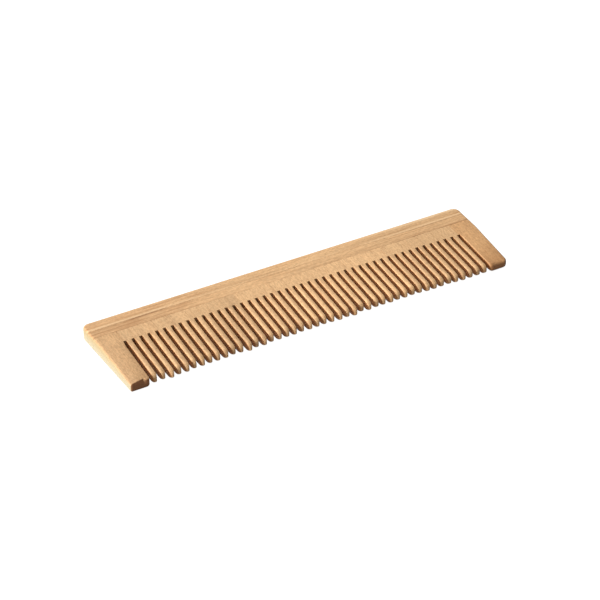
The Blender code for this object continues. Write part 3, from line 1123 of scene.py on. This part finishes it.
settle(outer_face, "spine_outer_strip", outer_bamboo)
settle(inner_face, "spine_inner_strip", inner_bamboo)
settle(left_guard_face, "end_guard_left", left_bamboo)
settle(right_guard_face, "end_guard_right", right_bamboo)
for number, (piece, material) in enumerate(zip(tooth_faces, strip_bamboo), start=1):
    settle(piece, f"tooth_strip_{number}", material)
print("settled", len(tooth_faces) + 4, "pieces")

# %% [markdown]
# ## Table and light
#
# The comb lies on a white table. A large soft light hangs above it and a little behind, and a
# second one stands low at the left, so the left end and the left shoulders of the teeth shine
# and the front faces stay in shade. The table shows white to the camera but bounces little
# light, as a lit sheet would from some way below the comb. The surroundings are treated in the
# same way: white where they are seen, and dimmer where they only fill the shadows.

# %% What is seen and what is cast
WHITE = (1.0, 1.0, 1.0, 1.0)


def seen_or_cast(nodes, seen, cast):
    """One shader for what the camera sees, another for the light that reaches the comb."""
    path = nodes.add("ShaderNodeLightPath")
    mix = nodes.add("ShaderNodeMixShader")
    nodes.feed(mix.inputs[0], path.outputs["Is Camera Ray"])
    nodes.feed(mix.inputs[1], cast.outputs[0])
    nodes.feed(mix.inputs[2], seen.outputs[0])
    return mix.outputs[0]


# %% Table
TABLE_SIZE = 8.0
TABLE_SEGMENTS = 8
TABLE_DROP = 0.05 * MM
TABLE_GREY = (0.25, 0.25, 0.25, 1.0)
TABLE_ROUGHNESS = 0.9
TABLE_GLOW = 0.95
TABLE_BOUNCE = (0.55, 0.53, 0.50, 1.0)


def add_table():
    shape = bmesh.new()
    bmesh.ops.create_grid(
        shape, x_segments=TABLE_SEGMENTS, y_segments=TABLE_SEGMENTS, size=TABLE_SIZE / 2,
    )
    bmesh.ops.translate(shape, verts=shape.verts, vec=(0.0, 0.0, -TABLE_DROP))
    table = finished_mesh("table", shape)
    material = bpy.data.materials.new("white_table")
    material.use_nodes = True
    tree = material.node_tree
    tree.nodes.clear()
    nodes = Nodes(tree)
    seen = nodes.add("ShaderNodeBsdfPrincipled")
    seen.inputs["Base Color"].default_value = TABLE_GREY
    seen.inputs["Roughness"].default_value = TABLE_ROUGHNESS
    seen.inputs["Specular IOR Level"].default_value = 0.0
    seen.inputs["Emission Color"].default_value = WHITE
    seen.inputs["Emission Strength"].default_value = TABLE_GLOW
    bounced = nodes.add("ShaderNodeBsdfDiffuse")
    bounced.inputs["Color"].default_value = TABLE_BOUNCE
    output = nodes.add("ShaderNodeOutputMaterial")
    tree.links.new(seen_or_cast(nodes, seen, bounced), output.inputs["Surface"])
    table.data.materials.append(material)
    return table


table = add_table()
print("table:", [round(value, 2) for value in table.dimensions[:2]], "m")

# %% Softboxes
SOFTBOX_COLOUR = (1.0, 0.99, 0.97)


def add_softbox(name, towards, distance, size, power):
    """A rectangular soft light that faces the comb from a direction."""
    lamp = bpy.data.lights.new(name, "AREA")
    lamp.shape = "RECTANGLE"
    lamp.size, lamp.size_y = size
    lamp.energy = power
    lamp.color = SOFTBOX_COLOUR
    softbox = bpy.data.objects.new(name, lamp)
    direction = Vector(towards).normalized()
    softbox.location = direction * distance
    softbox.rotation_euler = direction.to_track_quat("Z", "Y").to_euler()
    scene.collection.objects.link(softbox)


add_softbox(
    "key_softbox", towards=(-0.15, 0.48, 0.86), distance=2.0, size=(1.0, 1.0), power=24.2,
)
add_softbox(
    "low_softbox", towards=(-0.98, 0.10, 0.17), distance=2.5, size=(1.2, 0.5), power=83.0,
)

# %% White surroundings
FILL_STRENGTH = 0.38
BACKDROP_STRENGTH = 1.0


def add_surroundings():
    world = bpy.data.worlds.new("studio")
    scene.world = world
    world.use_nodes = True
    world.node_tree.nodes.clear()
    nodes = Nodes(world.node_tree)
    fill = nodes.add("ShaderNodeBackground", Color=WHITE, Strength=FILL_STRENGTH)
    backdrop = nodes.add("ShaderNodeBackground", Color=WHITE, Strength=BACKDROP_STRENGTH)
    output = nodes.add("ShaderNodeOutputWorld")
    nodes.feed(output.inputs["Surface"], seen_or_cast(nodes, backdrop, fill))


add_surroundings()
scene.view_settings.view_transform = "Standard"
print("fill is", FILL_STRENGTH, "of the backdrop")
